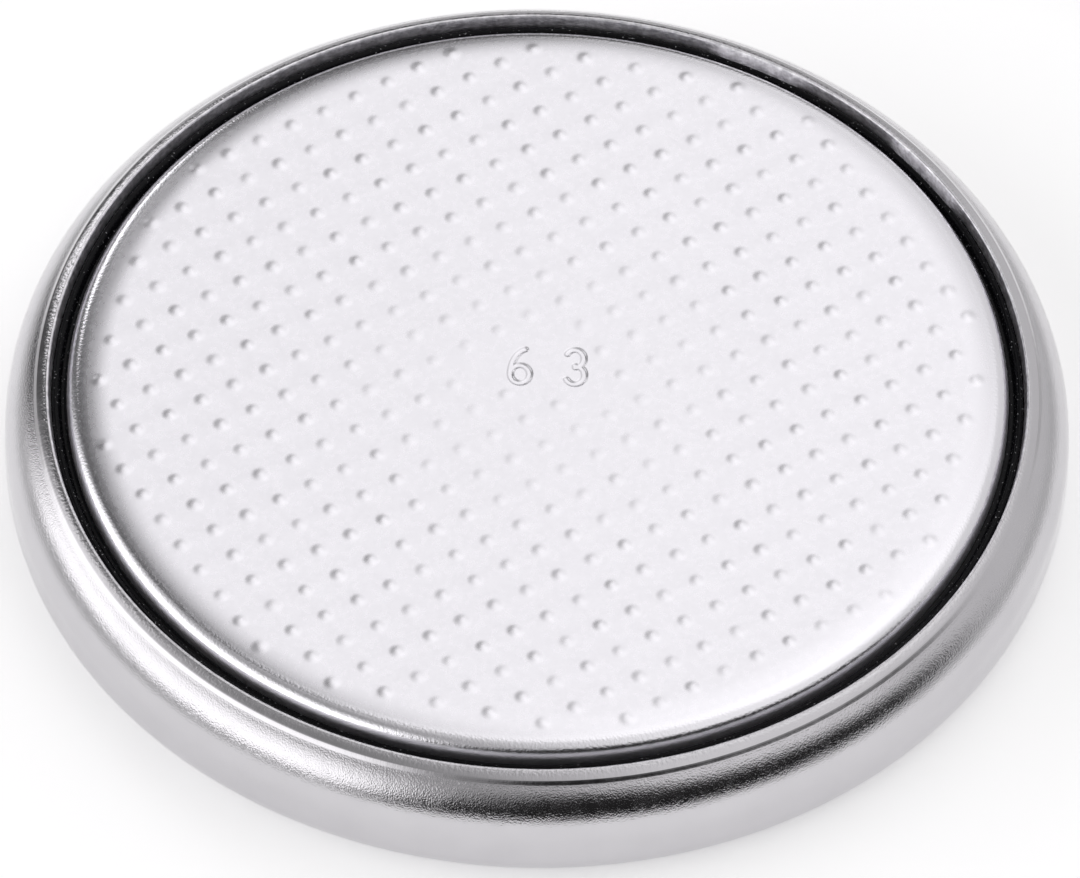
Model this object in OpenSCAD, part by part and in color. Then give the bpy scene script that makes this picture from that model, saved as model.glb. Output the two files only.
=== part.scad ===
// Lithium coin cell, 20 mm across and 2.5 mm high, as an assembly of its real pieces.
// A drawn steel can, the positive pole, is crimped over a gasket that grips the skirt of a drawn
// steel cap, the negative pole. The electrode stack is pressed between the floor and the cap.
// The can's floor lies on the XY plane, and the cell's axis is +Z.

/* [Cell] */
// Diameter of the cell, over the can's side
cell_d = 20; // [12:0.1:32]
// Height of the cell, from the can's floor to the tops of the pips on the cap's face
cell_h = 2.5; // [2.05:0.05:5.4]

/* [Positive can] */
// Thickness of the can's sheet
can_t = 0.25; // [0.15:0.01:0.3]
// Outer radius of the bend between the can's floor and side
can_corner_r = 0.6; // [0.35:0.05:0.7]
// Outer radius of the crimped shoulder
shoulder_r = 1.34; // [1.1:0.02:1.4]
// Distance from the cap's face down to the level where the shoulder's curve would be flat
shoulder_drop = 0.06; // [0:0.01:0.15]
// Radial width of the band that the crimping die pressed flat beside the lip's edge
crimp_band_w = 0.28; // [0.1:0.02:0.34]
// Slope of that band, falling outwards
crimp_band_tilt = 28; // [10:1:35]

/* [Negative cap] */
// Thickness of the cap's sheet
cap_t = 0.25; // [0.15:0.01:0.3]
// Radial distance from the can's side in to the cap's upper wall
cap_inset = 1.17; // [1.1:0.01:1.4]
// Outer radius of the bend around the cap's face
cap_edge_r = 0.38; // [0.2:0.02:0.4]
// Distance from the cap's face down to the step above its skirt
cap_step_drop = 0.95; // [0.8:0.05:1.1]
// Outer radius of the bend between the step and the skirt
cap_step_r = 0.3; // [0.1:0.05:0.35]
// Outer radius of the bend between the upper wall and the step
cap_neck_r = 0.12; // [0.05:0.01:0.2]

/* [Pips on the cap's face] */
// Distance between neighbouring pips of the square grid
pip_pitch = 0.705; // [0.6:0.005:1.2]
// Diameter of a pip at the cap's face
pip_d = 0.29; // [0.15:0.01:0.4]
// Height of a pip above the cap's face
pip_h = 0.03; // [0.01:0.005:0.06]
// Angle of the grid about the cell's axis
pip_turn = 32.4; // [0:0.1:90]
// Plain margin between the outermost pips and the bend around the cap's face
pip_margin = 0.04; // [0:0.02:1]

/* [Gasket] */
// Gap between the cap's upper wall and the lip's edge, which the gasket shows in
mouth_gap = 0.34; // [0.2:0.02:0.4]
// Distance from the lip's edge down to the gasket's top
gasket_recess = 0.24; // [0.1:0.01:0.26]
// Thickness of the gasket between the cap's skirt and the can's side
gasket_wall_t = 0.38; // [0.25:0.01:0.5]
// Thickness of the gasket under the cap's skirt
gasket_floor_t = 0.28; // [0.15:0.01:0.5]
// Gap between the gasket's inner wall and the step of the cap above it
gasket_head_gap = 0.1; // [0.05:0.01:0.3]

/* [Electrodes] */
// Thickness of the lithium disc
anode_t = 0.45; // [0.2:0.05:0.7]
// Gap between the lithium disc's edge and the cap's inner wall
anode_gap = 0.4; // [0.1:0.05:1]
// Thickness of the separator
separator_t = 0.2; // [0.05:0.01:0.3]
// Gap between the separator's edge and the cap's inner wall
separator_gap = 0.05; // [0.02:0.01:0.1]
// Thickness of the sheet of the cathode's retaining ring
ring_t = 0.15; // [0.08:0.01:0.2]
// Width of the ring's foot under the pellet
ring_foot_w = 0.9; // [0.4:0.1:2]
// Gap between the ring and the cap's inner wall
ring_gap = 0.12; // [0.08:0.01:0.3]
// Gap between the ring and the gasket's inner wall
ring_clear = 0.06; // [0.03:0.01:0.1]

/* [Hidden] */
$fn = 240;
// Clearance between curved faces that press on each other
fit_clear = 0.01;
// Smallest inner radius of a bend
least_r = 0.02;
// Overshoot of a cut past the face it opens
over = 1;

can_r = cell_d / 2;
face_z = cell_h - pip_h;
shoulder_z = face_z - shoulder_drop - shoulder_r;
cap_r = can_r - cap_inset;
cap_floor_z = face_z - cap_t;
cap_in_r = cap_r - cap_t;
skirt_r = can_r - can_t - gasket_wall_t;
skirt_in_r = skirt_r - cap_t;
step_z = face_z - cap_step_drop;
skirt_foot_z = can_t + gasket_floor_t;
lip_r = cap_r + mouth_gap;
crease_r = lip_r + crimp_band_w;
lip_z = shoulder_height(crease_r) + crimp_band_w * tan(crimp_band_tilt);
gasket_top_z = lip_z - gasket_recess;
anode_z = cap_floor_z - anode_t;
pellet_top_z = anode_z - separator_t;
ring_r = cap_in_r - ring_gap;
gasket_in_r = ring_r + ring_clear;
pip_ball_r = (pow(pip_d / 2, 2) + pow(pip_h, 2)) / (2 * pip_h);
pip_field_r = cap_r - cap_edge_r - pip_margin - pip_d / 2;
pip_reach = ceil(pip_field_r / pip_pitch);
// Depth to which a pip's solid is rooted in the cap's sheet
pip_root = cap_t / 3;
// Grid places that are left plain for a date stamp, as steps along the grid's two directions
plain_places = [[0, 0], [1, 0], [0, 1], [1, 1], [1, -1], [-1, 1]];

// Height of the shoulder's outer curve at radius r
function shoulder_height(r) = shoulder_z + sqrt(pow(shoulder_r, 2) - pow(r - can_r + shoulder_r, 2));

// Radius of a bend on a face that lies inset inside the outer face
function bend_r(outer_r, inset) = max(outer_r - inset, least_r);

// Quarter disc of a convex bend, about the centre [r, z], on the upper or the lower side of it
module bend(r, z, radius, side) {
    translate([r, z])
        intersection() {
            circle(radius);
            translate([0, side < 0 ? -radius : 0]) square(radius);
        }
}

// Radial section of all that lies within the can's outer face, moved in by inset
module can_space(inset) {
    corner_r = bend_r(can_corner_r, inset);
    crown_r = bend_r(shoulder_r, inset);
    r = can_r - inset;
    translate([0, inset]) square([r - corner_r, corner_r]);
    bend(r - corner_r, inset + corner_r, corner_r, -1);
    translate([0, inset + corner_r]) square([r, shoulder_z - inset - corner_r]);
    bend(r - crown_r, shoulder_z, crown_r, 1);
    translate([0, shoulder_z]) square([r - crown_r, crown_r]);
}

// Radial section of all that lies within the cap's outer face, moved in by inset
module cap_space(inset) {
    edge_r = bend_r(cap_edge_r, inset);
    step_r = bend_r(cap_step_r, inset);
    neck_r = cap_neck_r + inset;
    r = cap_r - inset;
    top = face_z - inset;
    step_top = step_z - inset;
    translate([0, step_top]) square([r, top - edge_r - step_top]);
    translate([0, top - edge_r]) square([r - edge_r, edge_r]);
    bend(r - edge_r, top - edge_r, edge_r, 1);
    translate([0, -over]) square([skirt_r - inset, step_top - step_r + over]);
    translate([0, step_top - step_r]) square([skirt_r - inset - step_r, step_r]);
    bend(skirt_r - inset - step_r, step_top - step_r, step_r, 1);
    difference() {
        translate([r - least_r, step_top - least_r]) square(neck_r + least_r);
        translate([r + neck_r, step_top + neck_r]) circle(neck_r);
    }
}

// Turns the part of a radial section between two radii about the cell's axis
module turned(r_low, r_high, z_low, z_high) {
    rotate_extrude()
        intersection() {
            translate([r_low, z_low]) square([r_high - r_low, z_high - z_low]);
            children();
        }
}

module positive_can() {
    color([0.72, 0.72, 0.74])
        turned(0, can_r, 0, face_z)
            difference() {
                can_space(0);
                can_space(can_t);
                translate([0, shoulder_z]) square([lip_r, shoulder_r + over]);
                polygon([[crease_r, shoulder_height(crease_r)], [lip_r, lip_z],
                         [lip_r, lip_z + over], [crease_r, lip_z + over]]);
            }
}

// Radial section of the groove that the cap's skirt presses into the gasket
module skirt_groove() {
    intersection() {
        cap_space(-fit_clear);
        translate([0, skirt_foot_z - fit_clear]) square([can_r, cell_h]);
    }
}

module gasket() {
    inner_wall_z = step_z - cap_t - gasket_head_gap;
    color([0.05, 0.05, 0.06])
        turned(gasket_in_r, can_r, can_t, gasket_top_z) {
            difference() {
                can_space(can_t + fit_clear);
                skirt_groove();
            }
            translate([0, can_t + fit_clear])
                square([skirt_in_r - fit_clear, inner_wall_z - can_t - fit_clear]);
        }
}

// The pips: balls on the grid, cut off inside the cap's sheet
module pips() {
    intersection() {
        translate([0, 0, face_z - pip_root]) cylinder(h = pip_root + over, r = cap_r);
        rotate(pip_turn)
            for (i = [-pip_reach : pip_reach], j = [-pip_reach : pip_reach])
                if (norm([i, j]) * pip_pitch < pip_field_r
                        && len([for (p = plain_places) if (p == [i, j]) p]) == 0)
                    translate([i * pip_pitch, j * pip_pitch, cell_h - pip_ball_r])
                        sphere(pip_ball_r, $fn = 48);
    }
}

module negative_cap() {
    color([0.86, 0.86, 0.88]) {
        turned(0, skirt_r, skirt_foot_z, face_z)
            difference() {
                cap_space(0);
                cap_space(cap_t);
            }
        pips();
    }
}

module lithium_anode() {
    color([0.66, 0.67, 0.7])
        translate([0, 0, anode_z]) cylinder(h = anode_t, r = cap_in_r - anode_gap);
}

module separator() {
    color([0.95, 0.95, 0.92])
        translate([0, 0, pellet_top_z]) cylinder(h = separator_t, r = cap_in_r - separator_gap);
}

module cathode_pellet() {
    pellet_r = ring_r - ring_t - fit_clear;
    color([0.13, 0.13, 0.14])
        difference() {
            translate([0, 0, can_t]) cylinder(h = pellet_top_z - can_t, r = pellet_r);
            translate([0, 0, can_t - over])
                difference() {
                    cylinder(h = ring_t + over, r = pellet_r + over);
                    cylinder(h = ring_t + over, r = ring_r - ring_foot_w - fit_clear);
                }
        }
}

module cathode_ring() {
    color([0.6, 0.61, 0.63])
        translate([0, 0, can_t])
            rotate_extrude() {
                translate([ring_r - ring_t, 0]) square([ring_t, pellet_top_z - can_t]);
                translate([ring_r - ring_foot_w, 0]) square([ring_foot_w, ring_t]);
            }
}

positive_can();
gasket();
negative_cap();
lithium_anode();
separator();
cathode_pellet();
cathode_ring();
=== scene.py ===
"""Looks of the lithium coin cell: its can, gasket and cap in detail, their materials, and a small studio.

Lengths are written in millimetres and turned into metres when a mesh or the camera is made. Angles are
in degrees. The cell's axis is Z, and its bottom lies on Z = 0.
"""

import math
import random

import bpy
import bmesh
from mathutils import Euler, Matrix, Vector
from mathutils.geometry import delaunay_2d_cdt


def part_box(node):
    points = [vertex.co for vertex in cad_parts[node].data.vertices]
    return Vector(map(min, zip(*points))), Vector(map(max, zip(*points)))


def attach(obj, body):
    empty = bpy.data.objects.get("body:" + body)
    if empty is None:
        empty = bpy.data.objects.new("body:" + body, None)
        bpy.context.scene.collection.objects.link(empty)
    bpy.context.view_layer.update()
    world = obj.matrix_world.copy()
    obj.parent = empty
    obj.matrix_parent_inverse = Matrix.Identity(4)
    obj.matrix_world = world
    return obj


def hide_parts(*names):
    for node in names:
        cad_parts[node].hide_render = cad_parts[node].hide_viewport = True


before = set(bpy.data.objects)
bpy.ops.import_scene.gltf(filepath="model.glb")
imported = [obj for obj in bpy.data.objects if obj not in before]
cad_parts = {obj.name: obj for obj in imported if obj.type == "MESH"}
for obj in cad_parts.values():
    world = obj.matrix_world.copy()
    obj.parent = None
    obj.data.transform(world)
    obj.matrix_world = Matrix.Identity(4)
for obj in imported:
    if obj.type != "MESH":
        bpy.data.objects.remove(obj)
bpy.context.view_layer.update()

MM = 0.001
TURNS = 384                 # facets round the axis
SHARP_ANGLE = 40            # edges that turn by more than this stay sharp


def box_mm(node):
    """Lowest and highest corner of a CAD node, in millimetres."""
    low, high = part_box(node)
    return low / MM, high / MM


# Levels and radii that the CAD nodes give
CAN_R = box_mm("positive_can")[1].x
CAP_TOP_Z = box_mm("negative_cap")[1].z
SKIRT_FOOT_Z, SKIRT_R = box_mm("negative_cap")[0].z, box_mm("negative_cap")[1].x
GASKET_LOW_Z, GASKET_TOP_Z = box_mm("gasket")[0].z, box_mm("gasket")[1].z
CAP_FLOOR_Z = box_mm("lithium_anode")[1].z
RING_R = box_mm("cathode_ring")[1].x

# Sheet, bends, gaps and pips, as in the part's source
SHEET_T = 0.25
CAN_CORNER_R = 0.6
SHOULDER_R = 1.34
SHOULDER_DROP = 0.06
CRIMP_BAND_W = 0.28
CAP_INSET = 1.17
CAP_EDGE_R = 0.38
CAP_STEP_DROP = 0.95
CAP_STEP_R = 0.3
CAP_NECK_R = 0.12
MOUTH_GAP = 0.34
FIT_CLEAR = 0.01
GASKET_HEAD_GAP = 0.1
GASKET_RING_CLEAR = 0.06
PIP_PITCH, PIP_TURN, PIP_H = 0.705, 32.4, 0.03
PIP_MARGIN = 0.185          # from the edge of the flat face in to the centres of the outermost pips
PLAIN_PLACES = {(0, 0), (1, 0), (0, 1), (1, 1), (1, -1), (-1, 1)}

# Softer forms, which the looks add
PIP_R = 0.18                            # a pip with its soft foot
EDGE_R = 0.3                            # bend round the face's edge
EASE_FROM_R, EASE_SLOPE = 7.98, 14      # where the face starts to ease down, and its slope at the bend
EASE_POWER = 2.2
BURRS = ((127, 8), (153.5, 7))          # places on the lip: bearing from the front, reach to each side

FACE_Z = CAP_TOP_Z - PIP_H
SHOULDER_Z = FACE_Z - SHOULDER_DROP - SHOULDER_R
CAP_R = CAN_R - CAP_INSET
FACE_R = CAP_R - CAP_EDGE_R
LIP_R = CAP_R + MOUTH_GAP
CREASE_R = LIP_R + CRIMP_BAND_W
BEND_R = CAP_R - EDGE_R + EDGE_R * math.sin(math.radians(EASE_SLOPE))       # where the bend starts
EASE_W = BEND_R - EASE_FROM_R
STEP_Z = FACE_Z - CAP_STEP_DROP


# ---------------------------------------------------------------- sections and meshes

def smooth_step(x):
    """Rises smoothly from 0 at 0 to 1 at 1."""
    x = min(max(x, 0), 1)
    return x * x * (3 - 2 * x)


def arc(r, z, radius, start, end, steps):
    """Points on an arc about (r, z), from one angle to another, counted from the outward direction."""
    angles = [math.radians(start + (end - start) * k / steps) for k in range(steps + 1)]
    return [(r + radius * math.cos(a), z + radius * math.sin(a)) for a in angles]


def supported(section, loop, margin=0.015, shortest=0.06):
    """The section with points added beside its bends, so that smooth shading leaves its flats flat."""
    points = []
    last = len(section) if loop else len(section) - 1
    for k in range(last):
        a, b = Vector(section[k]), Vector(section[(k + 1) % len(section)])
        points.append(tuple(a))
        if (b - a).length > shortest:
            step = (b - a).normalized() * margin
            points += [tuple(a + step), tuple(b - step)]
    return points if loop else points + [section[-1]]


def turned(section, loop=False, on_axis=1e-6):
    """Vertices and faces of a section turned about the axis. A point on the axis becomes one vertex."""
    verts, rows, faces = [], [], []
    for r, z in section:
        if r < on_axis:
            rows.append([len(verts)] * TURNS)
            verts.append((0, 0, z))
            continue
        rows.append(list(range(len(verts), len(verts) + TURNS)))
        for k in range(TURNS):
            a = 2 * math.pi * k / TURNS
            verts.append((r * math.cos(a), r * math.sin(a), z))
    pairs = list(zip(rows, rows[1:])) + ([(rows[-1], rows[0])] if loop else [])
    for low, high in pairs:
        for k in range(TURNS):
            n = (k + 1) % TURNS
            corners = [low[k], low[n], high[n], high[k]]
            faces.append(list(dict.fromkeys(corners)))
    return verts, rows, faces


def make_piece(name, verts, faces, node, finish):
    """A closed piece that stands for a CAD node, with its material."""
    mesh = bpy.data.meshes.new(name)
    mesh.from_pydata([Vector(v) * MM for v in verts], [], faces)
    mesh.validate()
    tidy = bmesh.new()
    tidy.from_mesh(mesh)
    bmesh.ops.recalc_face_normals(tidy, faces=tidy.faces)
    for edge in tidy.edges:
        edge.smooth = edge.calc_face_angle(0) < math.radians(SHARP_ANGLE)
    for face in tidy.faces:
        face.smooth = True
    tidy.to_mesh(mesh)
    tidy.free()
    piece = bpy.data.objects.new(name, mesh)
    bpy.context.scene.collection.objects.link(piece)
    mesh.materials.append(finish)
    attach(piece, "root")
    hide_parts(node)


# ---------------------------------------------------------------- the can and the gasket

def shoulder_z(r):
    """Height of the shoulder's outer curve at a radius."""
    return SHOULDER_Z + math.sqrt(SHOULDER_R ** 2 - (r - CAN_R + SHOULDER_R) ** 2)


def crease_step(step_w=0.055, step_fall=0.062, foot_w=0.005, foot_rise=0.008):
    """The small step between the shoulder and the pressed band, from its foot up to its eased top."""
    ease_w, foot_ease, top_ease = 0.15, 0.14, 0.13      # shares of the step's width and fall
    foot_r, foot_z = CREASE_R - foot_w, shoulder_z(CREASE_R) + foot_rise
    top_r, top_z = foot_r - step_w, foot_z + step_fall
    return [(foot_r, foot_z), (foot_r - ease_w * step_w, foot_z + foot_ease * step_fall),
            (top_r + ease_w * step_w, top_z - top_ease * step_fall), (top_r, top_z)]


def can_section():
    """The can's sheet: floor, side, rolled shoulder, pressed band, rounded lip and its cut face."""
    centre = CAN_R - SHOULDER_R
    corner = (CAN_R - CAN_CORNER_R, CAN_CORNER_R)
    crease_angle = math.degrees(math.acos((CREASE_R - centre) / SHOULDER_R))
    section = [(0, 0)]
    section += arc(*corner, CAN_CORNER_R, -90, 0, steps=12)
    section += arc(centre, SHOULDER_Z, SHOULDER_R, 0, crease_angle, steps=22)
    section += crease_step()

    outer_tilt, lip_tilt, lip_round, lip_end, lip_lean = 32, 14, 0.04, 165, 0.05
    band_steps = 8
    r, z = section[-1]
    band_w = r - LIP_R
    for k in range(band_steps):
        tilt = outer_tilt + (lip_tilt - outer_tilt) * (k + 0.5) / band_steps
        r, z = r - band_w / band_steps, z + band_w / band_steps * math.tan(math.radians(tilt))
        if r > LIP_R + lip_round:
            section.append((r, z))
    section += arc(LIP_R + lip_round, z - lip_round, lip_round, 90 - lip_tilt, lip_end, steps=6)

    in_r = SHOULDER_R - SHEET_T
    in_angle = math.degrees(math.acos((LIP_R - lip_lean - centre) / in_r))
    section += arc(centre, SHOULDER_Z, in_r, in_angle, 0, steps=14)
    section += arc(*corner, CAN_CORNER_R - SHEET_T, 0, -90, steps=8)
    section += [(0, SHEET_T)]
    return supported(section, loop=False)


def burred(verts):
    """The can's points, with the foot of the lip's cut face pressed inwards in two short places."""
    press = 0.08
    lip_w = 0.05                                # width beside the lip that holds its highest point
    inner_reach, outer_reach, outer_fade = 0.06, 0.16, 0.12
    side_slope = 2.5                            # how fast a burr's two ends fade
    least_r = 1                                 # keeps the middle of the floor out of the division
    top_z = max(z for r, z in can_section() if r < LIP_R + lip_w)
    moved = []
    for x, y, z in verts:
        r, bearing = math.hypot(x, y), math.degrees(math.atan2(x, -y))
        depth = smooth_step((top_z - z) / SHEET_T)
        on_lip = (r > LIP_R - inner_reach) * (z > SHOULDER_Z)
        near_lip = smooth_step((LIP_R + outer_reach - r) / outer_fade) * on_lip
        shares = [side_slope - side_slope * abs(bearing - at) / reach for at, reach in BURRS]
        open_here = sum(smooth_step(share) for share in shares)
        push = -press * depth * near_lip * open_here
        scale = 1 + push / max(r, least_r)
        moved.append((x * scale, y * scale, z))
    return moved


def gasket_section():
    """The gasket: its squeezed bead beside the lip, and the groove that the cap's skirt sits in."""
    bead_inset, bead_drop, bead_round = 0.125, 0.03, 0.075      # in from the lip, down from the top
    bead_start, bead_end = 10, 165
    outer_drop = 0.01                                           # where the bead meets the can, below the top
    trough = ((0.1, 0.08), (0.05, 0.09), (FIT_CLEAR, 0.07))     # out from the cap's wall, down from the top
    inset = SHEET_T + FIT_CLEAR
    crown_r = SHOULDER_R - inset
    outer_angle = math.degrees(math.asin((GASKET_TOP_Z - outer_drop - SHOULDER_Z) / crown_r))
    section = arc(CAN_R - CAN_CORNER_R, CAN_CORNER_R, CAN_CORNER_R - inset, -90, 0, steps=8)
    section += arc(CAN_R - SHOULDER_R, SHOULDER_Z, crown_r, 0, outer_angle, steps=14)
    section += arc(LIP_R - bead_inset, GASKET_TOP_Z - bead_drop, bead_round, bead_start, bead_end, steps=8)
    section += [(CAP_R + away, GASKET_TOP_Z - down) for away, down in trough]

    neck = (CAP_R + CAP_NECK_R, STEP_Z + CAP_NECK_R)
    step = (SKIRT_R - CAP_STEP_R, STEP_Z - CAP_STEP_R)
    section += arc(*neck, CAP_NECK_R - FIT_CLEAR, 180, 270, steps=5)
    section += arc(*step, CAP_STEP_R + FIT_CLEAR, 90, 0, steps=6)

    groove_in_r, groove_z = SKIRT_R - SHEET_T - FIT_CLEAR, SKIRT_FOOT_Z - FIT_CLEAR
    inner_r, inner_top_z = RING_R + GASKET_RING_CLEAR, STEP_Z - SHEET_T - GASKET_HEAD_GAP
    section += [(SKIRT_R + FIT_CLEAR, groove_z), (groove_in_r, groove_z), (groove_in_r, inner_top_z)]
    section += [(inner_r, inner_top_z), (inner_r, GASKET_LOW_Z)]
    return supported(section, loop=True)


# ---------------------------------------------------------------- the cap

def face_level(r):
    """Height of the plain face: flat in the middle, easing down to the bend round its edge."""
    share = max(0, r - EASE_FROM_R) / EASE_W
    return FACE_Z - math.tan(math.radians(EASE_SLOPE)) * EASE_W * share ** EASE_POWER / EASE_POWER


def cap_section():
    """The cap's sheet from the edge of its face, down to the skirt's foot and back to the axis."""
    neck = (CAP_R + CAP_NECK_R, STEP_Z + CAP_NECK_R)
    step = (SKIRT_R - CAP_STEP_R, STEP_Z - CAP_STEP_R)
    bend_z = face_level(BEND_R) - EDGE_R * math.cos(math.radians(EASE_SLOPE))
    section = arc(CAP_R - EDGE_R, bend_z, EDGE_R, 90 - EASE_SLOPE, 0, steps=16)
    section += arc(*neck, CAP_NECK_R, 180, 270, steps=6)
    section += arc(*step, CAP_STEP_R, 90, 0, steps=8)
    section += [(SKIRT_R, SKIRT_FOOT_Z), (SKIRT_R - SHEET_T, SKIRT_FOOT_Z)]
    section += arc(*step, CAP_STEP_R - SHEET_T, 0, 90, steps=4)
    section += arc(*neck, CAP_NECK_R + SHEET_T, 270, 180, steps=6)
    section += arc(FACE_R, FACE_Z - CAP_EDGE_R, CAP_EDGE_R - SHEET_T, 0, 90, steps=5)
    section += [(0, CAP_FLOOR_Z)]
    return supported(section, loop=False)


def pip_places():
    """Centre, radius and height of each pip of the square grid, each a little different."""
    draw = random.Random(7)
    stray = 0.006
    size_range, height_range = (0.94, 1.06), (0.38, 0.58)
    low_share, low_to_r, full_over = 0.5, 1.5, 3.5      # the pips in the middle are lower
    turn = math.radians(PIP_TURN)
    reach = math.ceil(FACE_R / PIP_PITCH)
    for i in range(-reach, reach + 1):
        for j in range(-reach, reach + 1):
            x = PIP_PITCH * (i * math.cos(turn) - j * math.sin(turn))
            y = PIP_PITCH * (i * math.sin(turn) + j * math.cos(turn))
            if math.hypot(i, j) * PIP_PITCH < FACE_R - PIP_MARGIN and (i, j) not in PLAIN_PLACES:
                rise = smooth_step((math.hypot(x, y) - low_to_r) / full_over)
                pressed = low_share + (1 - low_share) * rise
                yield (x + draw.gauss(0, stray), y + draw.gauss(0, stray),
                       PIP_R * draw.uniform(*size_range), PIP_H * pressed * draw.uniform(*height_range))


PIP_RINGS = (0.2, 0.36, 0.5, 0.62, 0.74, 0.86, 1.0, 1.08)       # shares of a pip's radius
PIP_SPOKES = 16


def edge_points(pips):
    """Points on rings inside the bend, left out where a pip's own points are."""
    rings, ring_gap, first_gap = 17, 0.036, 0.02
    clear_share = PIP_RINGS[-1] + 0.06
    outer_pips = [p for p in pips if math.hypot(p[0], p[1]) > EASE_FROM_R - 2 * PIP_R]
    points = []
    for ring in range(rings):
        r = BEND_R - first_gap - ring_gap * ring
        for k in range(TURNS):
            a = 2 * math.pi * (k + 0.5 * ((ring + 1) % 2)) / TURNS
            x, y = r * math.cos(a), r * math.sin(a)
            if all(math.hypot(x - px, y - py) > clear_share * pr for px, py, pr, _ in outer_pips):
                points.append((x, y, face_level(r)))
    return points


def pip_points(pips):
    """Points on each pip: its middle, and rings down its flank to the face."""
    points = []
    for x, y, radius, height in pips:
        points.append((x, y, face_level(math.hypot(x, y)) + height))
        for n, share in enumerate(PIP_RINGS):
            rise = height * (1 - min(share, 1) ** 2) ** 2
            for k in range(PIP_SPOKES):
                a = 2 * math.pi * (k + 0.5 * (n % 2)) / PIP_SPOKES
                px, py = x + radius * share * math.cos(a), y + radius * share * math.sin(a)
                points.append((px, py, face_level(math.hypot(px, py)) + rise))
    return points


FIGURE_H, FIGURE_W = 0.97, 0.5
FIGURES_AT = Vector((0.17, 0.34))
FIGURE_STEP = 0.515                             # from the middle between the figures to each of them
STROKE_FLOOR, STROKE_EDGE = 0.034, 0.068        # half widths of a stroke's floor and of the whole stroke
STROKE_DEPTH = 0.022
FIGURE_GRID = 0.016


def figure_strokes():
    """Centre lines of two plain stamped figures, as lists of points on the cap's face."""
    def curve(cx, cy, rx, ry, start, end, steps=20):
        """Points on a part of an ellipse about (cx, cy)."""
        angles = [math.radians(start + (end - start) * k / steps) for k in range(steps + 1)]
        return [Vector((cx + rx * math.cos(a), cy + ry * math.sin(a))) for a in angles]

    half_w, half_h = FIGURE_W / 2 - STROKE_EDGE, FIGURE_H / 2 - STROKE_EDGE
    bowl = half_h * 0.52
    left = FIGURES_AT - Vector((FIGURE_STEP, 0))
    right = FIGURES_AT + Vector((FIGURE_STEP, 0))
    six = [curve(0, bowl - half_h, half_w, bowl, 0, 360),
           curve(half_w * 0.9, bowl - half_h, half_w * 1.9, half_h * 2 - bowl, 180, 102, steps=14)]
    three = [curve(0, half_h - bowl, half_w * 0.92, bowl, 150, -88),
             curve(0, bowl - half_h, half_w, bowl * 1.02, 88, -150)]
    return [[p + left for p in line] for line in six] + [[p + right for p in line] for line in three]


def stroke_distance(p, strokes):
    """Distance from a point to the nearest centre line."""
    nearest = math.inf
    for line in strokes:
        for a, b in zip(line, line[1:]):
            along = b - a
            t = min(max((p - a).dot(along) / along.length_squared, 0), 1)
            nearest = min(nearest, (p - a - along * t).length)
    return nearest


def figure_points():
    """Points of a fine grid on and beside the strokes of the stamped figures."""
    points = []
    strokes = figure_strokes()
    row_reach = 0.6                             # rows to each side, as a share of a figure's height
    cols = math.ceil((FIGURE_STEP + FIGURE_W) / FIGURE_GRID)
    rows = math.ceil(FIGURE_H * row_reach / FIGURE_GRID)
    for i in range(-cols, cols + 1):
        for j in range(-rows, rows + 1):
            p = FIGURES_AT + Vector((i + 0.5 * (j % 2), j)) * FIGURE_GRID
            d = stroke_distance(p, strokes)
            if d < STROKE_EDGE + 2 * FIGURE_GRID:
                rise = smooth_step((d - STROKE_FLOOR) / (STROKE_EDGE - STROKE_FLOOR))
                points.append((p.x, p.y, FACE_Z - STROKE_DEPTH * (1 - rise)))
    return points


def cap_mesh():
    """The cap: its turned sheet, closed on top by the face with its pips and figures."""
    verts, rows, faces = turned(cap_section())
    rim = [verts[v] for v in rows[0]]
    pips = list(pip_places())
    points = rim + edge_points(pips) + pip_points(pips) + figure_points()
    flat = [Vector(p[:2]) for p in points]
    edges = [(k, (k + 1) % TURNS) for k in range(TURNS)]
    whole_hull, merge_within = 0, 1e-7
    found, _, triangles, origins, _, _ = delaunay_2d_cdt(flat, edges, [], whole_hull, merge_within)
    index = []
    for k in range(len(found)):
        source = min(origins[k])
        if source < TURNS:
            index.append(rows[0][source])
        else:
            index.append(len(verts))
            verts.append(points[source])
    faces += [[index[v] for v in triangle] for triangle in triangles]
    return verts, faces


# ---------------------------------------------------------------- materials

class Nodes:
    """A node tree under construction. A value is a number or another node's output."""

    def __init__(self, tree):
        self.tree = tree

    def add(self, kind, **settings):
        node = self.tree.nodes.new(kind)
        for key, value in settings.items():
            setattr(node, key, value)
        return node

    def feed(self, socket, value):
        if isinstance(value, bpy.types.NodeSocket):
            self.tree.links.new(value, socket)
        else:
            socket.default_value = value

    def maths(self, operation, *values):
        node = self.add("ShaderNodeMath", operation=operation)
        for socket, value in zip(node.inputs, values):
            self.feed(socket, value)
        return node.outputs[0]

    def product(self, first, *others):
        for other in others:
            first = self.maths("MULTIPLY", first, other)
        return first

    def total(self, first, *others):
        for other in others:
            first = self.maths("ADD", first, other)
        return first

    def ramp(self, value, low, high, to_low=0.0, to_high=1.0):
        """Maps value smoothly from low..high onto to_low..to_high."""
        node = self.add("ShaderNodeMapRange", interpolation_type="SMOOTHSTEP")
        limits = {"From Min": low, "From Max": high, "To Min": to_low, "To Max": to_high}
        self.feed(node.inputs["Value"], value)
        for key, number in limits.items():
            node.inputs[key].default_value = number
        return node.outputs["Result"]

    def split(self, vector):
        """The x, y and z of a vector."""
        node = self.add("ShaderNodeSeparateXYZ")
        self.feed(node.inputs[0], vector)
        return node.outputs


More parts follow.
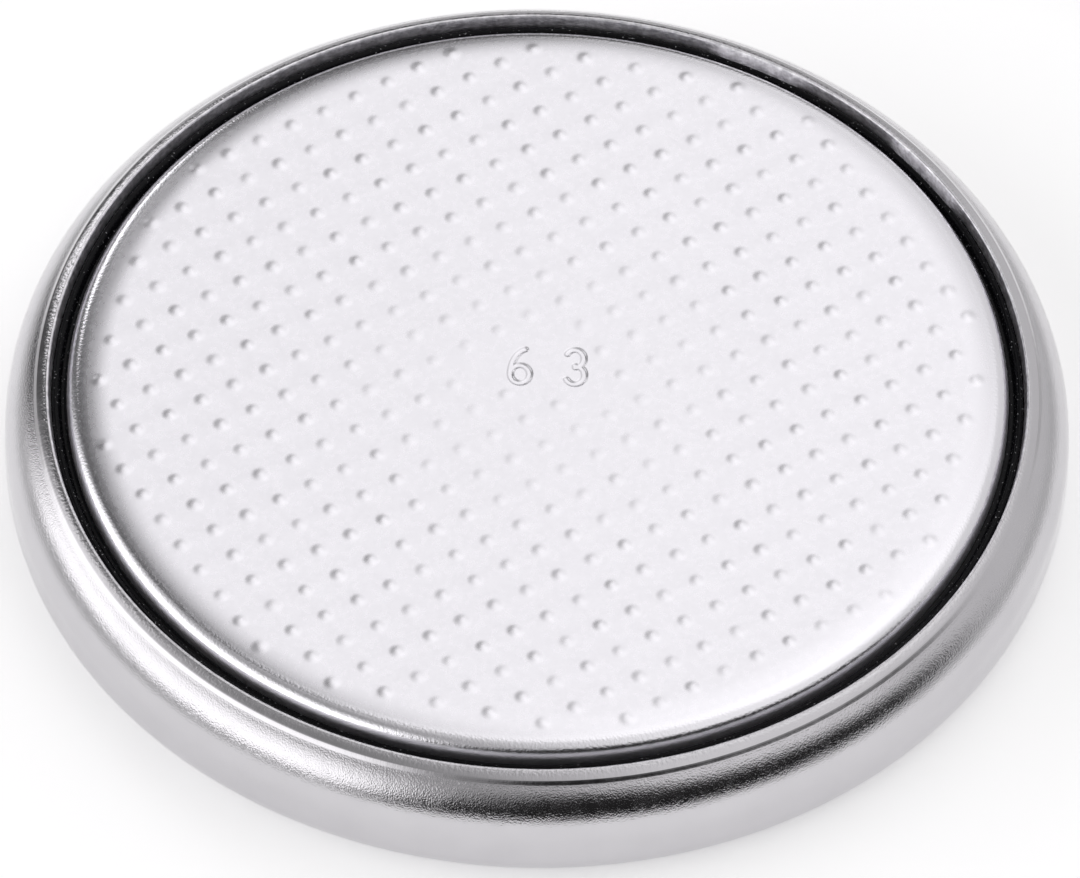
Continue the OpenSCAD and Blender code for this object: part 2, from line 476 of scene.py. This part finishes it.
class Finish(Nodes):
    """A material under construction. Positions in its textures are millimetres on the object."""

    def __init__(self, name, **settings):
        self.material = bpy.data.materials.new(name)
        self.material.use_nodes = True
        super().__init__(self.material.node_tree)
        self.shader = self.tree.nodes["Principled BSDF"]
        for socket, value in settings.items():
            self.shader.inputs[socket.replace("_", " ")].default_value = value
        self.place = self.scaled(self.add("ShaderNodeTexCoord").outputs["Object"], [1 / MM] * 3)

    def give(self, socket, value):
        """Feeds one of the shader's own sockets."""
        self.feed(self.shader.inputs[socket], value)

    def scaled(self, vector, factors):
        node = self.add("ShaderNodeVectorMath", operation="MULTIPLY")
        self.feed(node.inputs[0], vector)
        self.feed(node.inputs[1], factors)
        return node.outputs["Vector"]

    def noise(self, grain, detail=2.0, stretch=None, at=None):
        """Noise whose patches are about grain millimetres across."""
        node = self.add("ShaderNodeTexNoise")
        where = self.place if at is None else at
        if stretch:
            where = self.scaled(where, stretch)
        self.feed(node.inputs["Vector"], where)
        node.inputs["Scale"].default_value = 1 / grain
        node.inputs["Detail"].default_value = detail
        return node.outputs["Fac"]

    def spread(self, noise, low=0.0, high=1.0, least=0.3, most=0.7):
        """Maps the usual range of a noise onto low..high."""
        return self.ramp(noise, least, most, low, high)

    def polar(self):
        """Radius, height, and the place (radius, angle times a middle radius, height) for marks that run
        round the axis."""
        x, y, height = self.split(self.place)
        radius = self.maths("SQRT", self.total(self.product(x, x), self.product(y, y)))
        joined = self.add("ShaderNodeCombineXYZ")
        angle = self.product(self.maths("ARCTAN2", y, x), CAP_R)
        for socket, value in zip(joined.inputs, (radius, angle, height)):
            self.feed(socket, value)
        return radius, height, joined.outputs[0]

    def colours(self, value, low, high):
        """Mix of two colours by value."""
        node = self.add("ShaderNodeMix", data_type="RGBA")
        self.feed(node.inputs["Factor"], value)
        colour_sockets = [s for s in node.inputs if s.type == "RGBA"]
        for socket, colour in zip(colour_sockets, (low, high)):
            self.feed(socket, colour if isinstance(colour, bpy.types.NodeSocket) else (*colour, 1))
        return [s for s in node.outputs if s.type == "RGBA"][0]

    def bump(self, height, depth):
        """Relief of the given depth in millimetres, added to the relief so far."""
        node = self.add("ShaderNodeBump")
        self.feed(node.inputs["Height"], height)
        node.inputs["Distance"].default_value = depth * MM
        if self.shader.inputs["Normal"].links:
            self.feed(node.inputs["Normal"], self.shader.inputs["Normal"].links[0].from_socket)
        self.give("Normal", node.outputs["Normal"])


def can_steel():
    """Plated steel: smooth on the side, grainy where the shoulder was drawn in, scratched on the band,
    and bright and pitted on the lip's cut face."""
    f = Finish("can_steel", Metallic=1.0)
    radius, height, turned_place = f.polar()
    cut_low_z, cut_full_z = 1.9, 2.0
    grain_low_z, grain_full_z = 1.15, 1.75
    on_cut = f.product(f.ramp(radius, LIP_R + 0.05, LIP_R + 0.02), f.ramp(height, cut_low_z, cut_full_z))
    on_shoulder = f.product(f.ramp(height, grain_low_z, grain_full_z),
                            f.ramp(radius, CREASE_R - 0.02, CREASE_R + 0.03))
    on_band = f.ramp(radius, CREASE_R, CREASE_R - 0.04)
    near_lip = f.ramp(radius, LIP_R + 0.2, LIP_R + 0.08)

    sheet = f.colours(f.noise(grain=0.9, detail=3), (0.58, 0.57, 0.59), (0.64, 0.63, 0.65))
    sheared = f.colours(f.spread(f.noise(grain=0.15, detail=3)), (0.62, 0.61, 0.64), (0.98, 0.97, 1.0))
    f.give("Base Color", f.colours(on_cut, sheet, sheared))

    f.bump(f.product(f.noise(grain=0.03, detail=1), on_shoulder), depth=0.005)
    f.bump(f.product(f.noise(grain=0.09), on_shoulder), depth=0.002)
    f.bump(f.noise(grain=0.5), depth=0.004)
    scratches = f.noise(grain=0.05, stretch=(0.15, 1, 0.15), at=turned_place)
    f.bump(f.product(scratches, on_band), depth=0.0015)
    pits = f.noise(grain=0.06, detail=3)
    f.bump(f.product(pits, f.maths("MAXIMUM", on_cut, near_lip)), depth=0.01)

    worn = f.spread(f.noise(grain=0.25, detail=3), 0.09, 0.17)
    rougher_cut = 0.26
    f.give("Roughness", f.total(worn, f.product(on_cut, rougher_cut)))
    return f.material


def cap_steel():
    """Satin plated steel with a faint fine grain, smoother on the bend and rougher on the wall."""
    f = Finish("cap_steel", Metallic=1.0)
    radius, _, _ = f.polar()
    f.give("Base Color", f.colours(f.noise(grain=3.0), (0.865, 0.855, 0.89), (0.89, 0.88, 0.915)))
    f.bump(f.noise(grain=0.05), depth=0.0005)
    on_edge = f.ramp(radius, FACE_R + 0.05, FACE_R + 0.17)
    f.bump(f.product(f.noise(grain=0.05), on_edge), depth=0.004)

    smoother_bend, rougher_wall = -0.1, 0.25
    satin = f.spread(f.noise(grain=0.12), 0.27, 0.30)
    on_bend = f.ramp(radius, BEND_R - 0.2, BEND_R)
    on_wall = f.ramp(radius, FACE_R + 0.8 * CAP_EDGE_R, CAP_R)
    f.give("Roughness", f.total(satin, f.product(on_bend, smoother_bend), f.product(on_wall, rougher_wall)))
    return f.material


def gasket_black():
    """Glossy black moulded plastic with fine flow lines, and a few pale specks painted into its colour as
    small highlights.
    """
    f = Finish("gasket_black", IOR=1.5, Specular_IOR_Level=0.1)
    _, _, turned_place = f.polar()
    # Painted highlights: pale specks in the black colour stand in for small glints on the glossy plastic
    highlight_specks = f.ramp(f.noise(grain=0.045, detail=1), 0.70, 0.76)
    f.give("Base Color", f.colours(highlight_specks, (0.003, 0.003, 0.004), (0.35, 0.35, 0.36)))
    f.bump(f.noise(grain=0.06, stretch=(1, 0.12, 1), at=turned_place), depth=0.004)
    f.give("Roughness", f.spread(f.noise(grain=0.12), 0.16, 0.34))
    return f.material


def lithium():
    """Soft silvery metal, dulled in patches."""
    f = Finish("lithium", Metallic=1.0)
    dull = f.noise(grain=0.8, detail=4)
    f.give("Base Color", f.colours(dull, (0.52, 0.53, 0.56), (0.70, 0.70, 0.72)))
    f.bump(f.noise(grain=0.25, detail=3), depth=0.01)
    f.give("Roughness", f.spread(dull, 0.35, 0.6))
    return f.material


def separator_felt():
    """White non-woven fibres."""
    f = Finish("separator_felt", Roughness=0.9)
    directions = [(1, 0.1, 1), (0.1, 1, 1)]
    fibres = f.maths("MAXIMUM", *[f.noise(grain=0.05, detail=3, stretch=along) for along in directions])
    f.give("Base Color", f.colours(fibres, (0.72, 0.71, 0.67), (0.90, 0.90, 0.87)))
    f.bump(fibres, depth=0.02)
    return f.material


def cathode_mix():
    """Pressed dark powder with lighter grains of graphite."""
    f = Finish("cathode_mix")
    grains = f.ramp(f.noise(grain=0.08), 0.45, 0.7)
    f.give("Base Color", f.colours(grains, (0.018, 0.018, 0.02), (0.07, 0.07, 0.075)))
    f.bump(f.noise(grain=0.08, detail=3), depth=0.012)
    f.give("Roughness", f.ramp(grains, 0, 1, 0.85, 0.55))
    return f.material


def ring_steel():
    """Thin rolled stainless strip, with fine lines along the ring."""
    f = Finish("ring_steel", Metallic=1.0)
    _, _, turned_place = f.polar()
    lines = f.noise(grain=0.04, detail=3, stretch=(1, 0.05, 1), at=turned_place)
    f.give("Base Color", f.colours(lines, (0.50, 0.50, 0.51), (0.62, 0.62, 0.63)))
    f.bump(lines, depth=0.004)
    f.give("Roughness", f.spread(lines, 0.25, 0.4))
    return f.material


def dress_inner_nodes():
    """The hidden pieces keep their CAD shapes and get materials of their own."""
    finishes = {"lithium_anode": lithium, "separator": separator_felt,
                "cathode_pellet": cathode_mix, "cathode_ring": ring_steel}
    for node, finish in finishes.items():
        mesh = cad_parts[node].data
        mesh.materials.clear()
        mesh.materials.append(finish())


# ---------------------------------------------------------------- studio

def studio_sky():
    """Soft light from all round, brighter to the right and the back, which the steel reflects. Low down
    hang soft screens: pale ones to the right and the left, dark ones in front and at the back, a narrow
    bright strip at the back, and a thin dark line along the left and the front."""
    world = bpy.data.worlds.new("studio")
    bpy.context.scene.world = world
    world.use_nodes = True
    sky = Nodes(world.node_tree)
    background = sky.tree.nodes["Background"]

    def below(value, full, none):
        """1 up to the level full, and 0 from the level none."""
        return sky.ramp(value, full, none, 1, 0)

    def sector(bearing, low, high, soft):
        """1 between two bearings, positive to the right, with soft sides."""
        sides = sky.ramp(bearing, low - soft, low + soft), below(bearing, high - soft, high + soft)
        return sky.product(*sides)

    x, y, z = sky.split(sky.add("ShaderNodeTexCoord").outputs["Generated"])
    degrees = 180 / math.pi
    rise = sky.product(sky.maths("ARCSINE", z), degrees)
    from_front = sky.product(sky.maths("ARCTAN2", x, sky.product(y, -1)), degrees)
    from_back = sky.product(sky.maths("ARCTAN2", x, y), degrees)

    across = sky.total(x, sky.product(y, 0.25))
    light = sky.product(sky.ramp(across, -0.5, 0.35, 0.42, 1.3), sky.ramp(y, -0.2, 0.4, 0.7, 1))
    low_right = sky.product(sector(from_back, 8, 108, soft=12), below(rise, 30, 68))
    rise_back = sky.total(rise, sky.product(from_back, 1.1))
    dark_back = sky.product(sector(from_back, -56, 18, soft=12), below(rise_back, 19, 44))
    strip_height = sky.product(sky.ramp(rise, 8, 14), below(rise, 30, 38))
    strip = sky.product(sector(from_back, -36, -18, soft=3), strip_height)
    low_left = sky.product(sector(from_front, -116, -26, soft=12), below(rise, 20, 60))
    leaning = sky.total(from_front, sky.product(sky.maths("SUBTRACT", 20, rise), 0.9))
    rise_front = sky.total(rise, sky.product(from_front, 0.3))
    dark_front = sky.product(sky.ramp(leaning, -26, -8), below(from_front, 72, 98), below(rise_front, 36, 56))
    line_height = sky.product(sky.ramp(rise, 0, 1), below(rise, 3, 5))
    dark_line = sky.product(sector(from_front, -105, -14, soft=10), line_height)

    # Each screen's light and place. A later screen hangs in front of the earlier ones
    screens = ((0.70, low_right), (0.1, dark_back), (1.6, strip), (1.75, low_left), (0.02, dark_front),
               (0.1, dark_line))
    for level, share in screens:
        light = sky.total(light, sky.product(sky.maths("SUBTRACT", level, light), share))
    sky.feed(background.inputs["Strength"], light)
    background.inputs["Color"].default_value = (1.0, 0.99, 1.0, 1)


def floor():
    """A plain white table top with the faint mottle of laminate. Its colour holds painted light: it glows a
    little, and a painted pool of light makes it whitest within a rounded square round the cell, dimming
    softly outside that."""
    half, drop = 2000, 0.01
    corners = [(-half, -half, 0), (half, -half, 0), (half, half, 0), (-half, half, 0)]
    mesh = bpy.data.meshes.new("floor")
    mesh.from_pydata([Vector(corner) * MM for corner in corners], [], [(0, 1, 2, 3)])
    table = bpy.data.objects.new("floor", mesh)
    table.location.z = -drop * MM
    bpy.context.scene.collection.objects.link(table)

    f = Finish("floor_white", Roughness=0.9, Specular_IOR_Level=0.0, Emission_Color=(1, 1, 1, 1))
    white_to, dim_from, dimmed, glow = 12.3, 19, 0.55, 0.34
    front_share, squareness = 0.6, 4            # the square reaches further in front than behind
    x, y, _ = f.split(f.place)
    along = f.maths("MAXIMUM", y, f.product(y, -front_share))
    powers = [f.maths("POWER", side, squareness) for side in (f.maths("ABSOLUTE", x), along)]
    away = f.maths("POWER", f.total(*powers), 1 / squareness)
    # Painted light: a pool of light round the cell, in both colour and glow, that whitens away the cell's
    # shadow on the table
    lit = f.ramp(away, white_to, dim_from, 1, dimmed)
    mottle = f.colours(f.noise(grain=30), (0.95, 0.95, 0.95), (0.97, 0.97, 0.97))
    f.give("Base Color", f.colours(lit, (0, 0, 0), mottle))
    # Painted glow: the table shines though it is no lamp
    f.give("Emission Strength", f.product(lit, glow))
    mesh.materials.append(f.material)


def camera():
    """A long lens from the front, at the photograph's angle and tilt."""
    elevation, roll = math.radians(50.14), math.radians(1.13)
    distance, look_at = 306.4, Vector((0.058, -1.445, 2.48))
    axis_point = Vector((0, 0, look_at.z))
    data = bpy.data.cameras.new("camera")
    data.lens, data.sensor_width = 545.3, 36
    data.clip_start, data.clip_end = 0.05, 20
    eye = bpy.data.objects.new("camera", data)
    eye.location = (axis_point + distance * Vector((0, -math.cos(elevation), math.sin(elevation)))) * MM
    aim = (look_at * MM - eye.location).to_track_quat("-Z", "Y")
    eye.rotation_euler = (aim.to_matrix() @ Euler((0, 0, roll)).to_matrix()).to_euler()
    bpy.context.scene.collection.objects.link(eye)
    bpy.context.scene.camera = eye


# ---------------------------------------------------------------- the scene

verts, _, faces = turned(can_section())
make_piece("can", burred(verts), faces, "positive_can", can_steel())
verts, _, faces = turned(gasket_section(), loop=True)
make_piece("seal", verts, faces, "gasket", gasket_black())
verts, faces = cap_mesh()
make_piece("cap", verts, faces, "negative_cap", cap_steel())
dress_inner_nodes()
studio_sky()
floor()
camera()
bpy.context.scene.view_settings.view_transform = "Standard"
